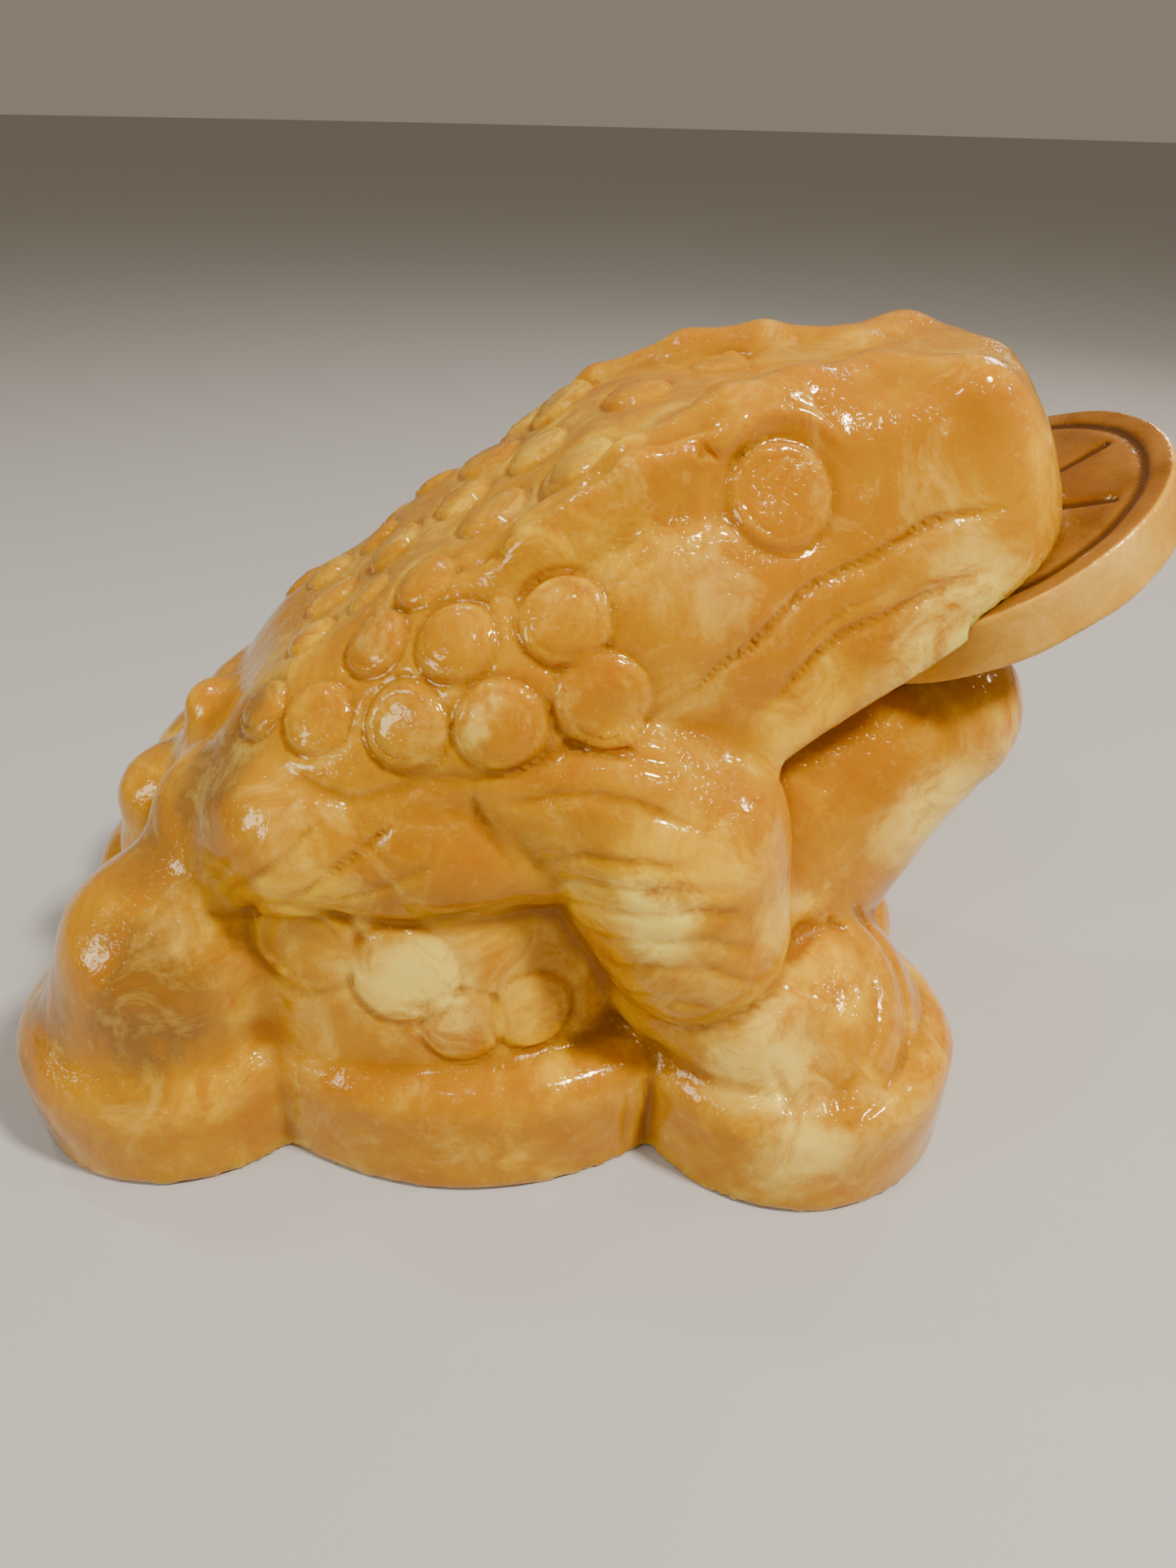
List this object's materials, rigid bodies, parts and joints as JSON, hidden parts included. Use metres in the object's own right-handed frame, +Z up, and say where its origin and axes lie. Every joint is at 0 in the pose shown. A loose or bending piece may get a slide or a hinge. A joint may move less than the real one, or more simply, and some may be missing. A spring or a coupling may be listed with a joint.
{
  "type": "money toad figurine",
  "caption": "Carved stone three-legged toad crouching on coins on a scalloped base, with a loose round coin held in its mouth.",
  "frame": {"origin": "on the table plane under the flat base, in the middle of the broad middle lobes", "axes": "+X the way the toad looks, +Y its left side, +Z up"},
  "size_m": [0.2216, 0.141, 0.1419],
  "materials": {
    "honey_stone": "polished, translucent honey yellow with cloudy cream and orange areas",
    "coin_stone": "polished, tan orange with brown stain in the carved lines"
  },
  "bodies": {
    "carving": {"toad_carving": "honey_stone"},
    "coin": {"mouth_coin": "coin_stone"}
  },
  "joints": [
    {"name": "coin_slide", "type": "slide", "parent": "carving", "child": "coin", "axis": [0.848, 0, 0.5299], "range_m": [0, 0.06]}
  ]
}
